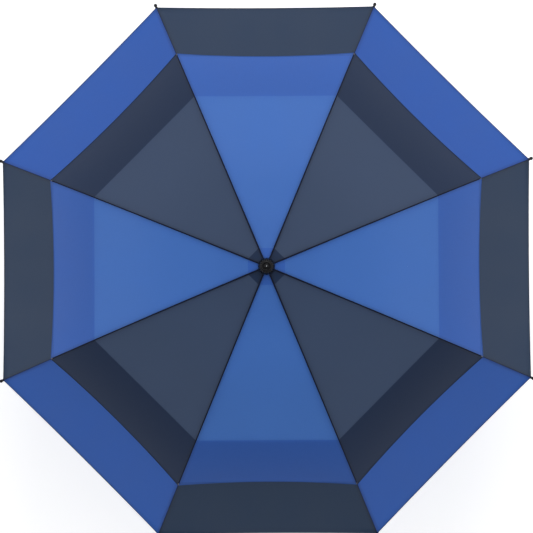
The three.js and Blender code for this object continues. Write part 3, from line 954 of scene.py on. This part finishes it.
def runner_grip():
    """Ribbed sleeve round the runner's lower part, with a flared foot."""
    low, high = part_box("runner")
    foot, top = low.z / MM, high.z / MM - 8.5
    rings = [(10.25, top)]
    for i in range(4):
        z = top - 1.5 - i * 2.8
        rings[:0] = [(11.2, z - 1.9), (11.2, z), (10.7, z + 0.35)]
    rings = [(10.25, foot + 0.4), (11.6, foot + 0.4), (11.9, foot + 1.6), (11.2, foot + 2.4)] + [
        p for p in rings if p[1] > foot + 2.5
    ]
    ring_part("runner_grip", rings, "runner", "plastic", black_plastic, radius=0.25)


ferrule_cap()
shaft_tube("shaft_lower", "lower_tube", "handle", 0.7 * MM)
shaft_tube("shaft_middle", "middle_tube", "middle_shaft", 0.7 * MM)
shaft_tube("shaft_upper", "upper_tube", "upper_shaft", 0.8 * MM)
ring_part("bushing_lower", [(6.05, 272), (7.35, 272), (7.35, 280.3), (6.05, 280.3)],
          "handle", "plastic", black_plastic, radius=0.3)
ring_part("bushing_middle", [(5.05, 440.8), (7.2, 440.8), (7.0, 443.7), (5.05, 443.7)],
          "middle_shaft", "plastic", black_plastic, radius=0.4)
runner_grip()


# ---- handle ----
def stadium(width, height, inset=0.0, steps=10):
    """Outline of an upright slot with round ends, in (x, z) about its centre."""
    w, h = width / 2 - inset, (height - width) / 2
    out = []
    for i in range(2 * steps + 2):
        upper = i <= steps
        a = math.pi * (i if upper else i - 1) / steps
        out.append((w * math.cos(a), w * math.sin(a) + (h if upper else -h)))
    return out


def lofted(name, rings, material):
    """Closed body through rings of equal count, from back to front, with flat ends."""
    sides = len(rings[0])
    verts = [Vector(p) for ring in rings for p in ring]
    faces = [tuple(range(sides - 1, -1, -1)), tuple(range(len(verts) - sides, len(verts)))]
    for i in range(len(rings) - 1):
        for j in range(sides):
            a, b, k = i * sides, (i + 1) * sides, (j + 1) % sides
            faces.append((a + j, a + k, b + k, b + j))
    obj = new_object(name, verts, faces, [material])
    obj.data.set_sharp_from_angle(angle=math.radians(35))
    return obj


BUTTON_PLAY = 0.8 * MM  # between the button and its pocket, both sides together
POCKET = -8.2 * MM, -25 * MM  # along y, from the pocket's floor to clear of the grip
button_low, button_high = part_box("push_button")
BUTTON_Z = (button_low.z + button_high.z) / 2
BUTTON_W = button_high.x - button_low.x
BUTTON_H = button_high.z - button_low.z


def push_button():
    """Slot-shaped button with rounded edges, a dished face and three grip bars."""
    rings = []
    face, back = -button_low.y, -button_high.y
    for inset, y in ((0.5, back), (0, back + 0.5 * MM), (0, face - 1.3 * MM), (0.35, face - 0.45 * MM),
                     (1.0, face - 0.05 * MM), (1.8, face - 0.02 * MM), (2.9, face - 0.5 * MM),
                     (4.2, face - 0.7 * MM)):
        ring = stadium(BUTTON_W, BUTTON_H, inset * MM)
        rings.append([(x, -y, z + BUTTON_Z) for x, z in ring])
    finished(lofted("release_button", rings, black_plastic), "push_button", "plastic", "push_button")
    for i in (-1, 0, 1):
        z = BUTTON_Z + i * 2.6 * MM
        path = [Vector((x * MM, -face + (0.62 - 0.1 * (1 - abs(x) / 2.4)) * MM, z))
                for x in (-2.4, -1.2, 0, 1.2, 2.4)]
        bar = tube_along(f"button_bar_{i + 2}", path, circle(0.42 * MM, 8), black_plastic)
        finished(bar, "push_button", "plastic")


def button_spring():
    """Coil behind the button, with closed end turns."""
    low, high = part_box("button_spring")
    radius, turns, per_turn = 2.6 * MM, 4.6, 18
    front, back = low.y + 0.4 * MM, high.y - 0.4 * MM
    path = []
    for i in range(round(turns * per_turn) + 1):
        turn = i / per_turn
        rise = min(max((turn - 0.8) / (turns - 1.6), 0), 1)
        angle = 2 * math.pi * turn
        path.append(Vector((radius * math.cos(angle), back + (front - back) * rise,
                            BUTTON_Z + radius * math.sin(angle))))
    obj = tube_along("coil_spring", path, circle(0.24 * MM, 8), bright_steel, up=(0, 1, 0))
    finished(obj, "handle", "steel", "button_spring")
    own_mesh(obj)


def handle_grip():
    """Soft-touch grip with finger waists and fine rings, cut for the button."""
    low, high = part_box("handle_grip")
    z0, z1 = low.z / MM, high.z / MM
    outer = [(16.2, z0), (16.9, z0 + 0.8), (17.2, 14), (16.4, 26), (16.6, 38), (17.0, 50), (16.4, 60),
             (15.2, z1 - 0.6), (14.4, z1)]

    def radius_at(z):
        return float(np.interp(z, [p[1] for p in outer], [p[0] for p in outer]))

    profile = [(7.3, z1), (7.3, z0)]
    z = z0
    while z < z1:
        around = np.linspace(z - 3, z + 3, 13)
        r = float(np.mean([radius_at(min(max(a, z0 + 0.8), z1 - 0.6)) for a in around]))
        r = min(r, radius_at(z) + 0.15)
        ring = 0.16 * max(0, math.sin((z - 12) * 2 * math.pi / 2.4)) if 12 < z < 34 else 0
        profile.append((r - ring, z))
        z += 0.3
    obj = lathe("grip", [(r * MM, z * MM) for r, z in profile], soft_touch, 120, loop=True, sharp=50)
    outline = stadium(BUTTON_W + BUTTON_PLAY, BUTTON_H + BUTTON_PLAY)
    rings = [[(x, y, z + BUTTON_Z) for x, z in outline] for y in POCKET]
    cutter = lofted("pocket", rings, soft_touch)
    carve = obj.modifiers.new("pocket", "BOOLEAN")
    carve.object = cutter
    carve.operation = "DIFFERENCE"
    carve.solver = "EXACT"
    bpy.context.view_layer.update()
    carved = bpy.data.meshes.new_from_object(obj.evaluated_get(bpy.context.evaluated_depsgraph_get()))
    obj.modifiers.clear()
    obj.data = carved
    bpy.data.objects.remove(cutter)
    finished(obj, "handle", "rubber", "handle_grip")


push_button()
button_spring()
handle_grip()
COLLAR = [(7.3, 66.3), (14.2, 66.3), (13.9, 68), (13.2, 70.2), (11.2, 73.2), (9.8, 75), (9.4, 76),
          (7.3, 76)]
BASE_CAP = [(0, 0.4), (8, 0.4), (9, 0), (14.6, 0), (16.1, 0.9), (16.8, 2.4), (16.8, 3.6), (16.4, 3.9),
            (16.4, 4.3), (16.8, 4.6), (16.8, 6), (0, 6)]
ring_part("collar", COLLAR, "handle", "plastic", black_plastic, "handle_collar", radius=0.5)
ring_part("base_cap", BASE_CAP, "handle", "plastic", black_plastic, "handle_base_cap",
          radius=0.35, segments=96)
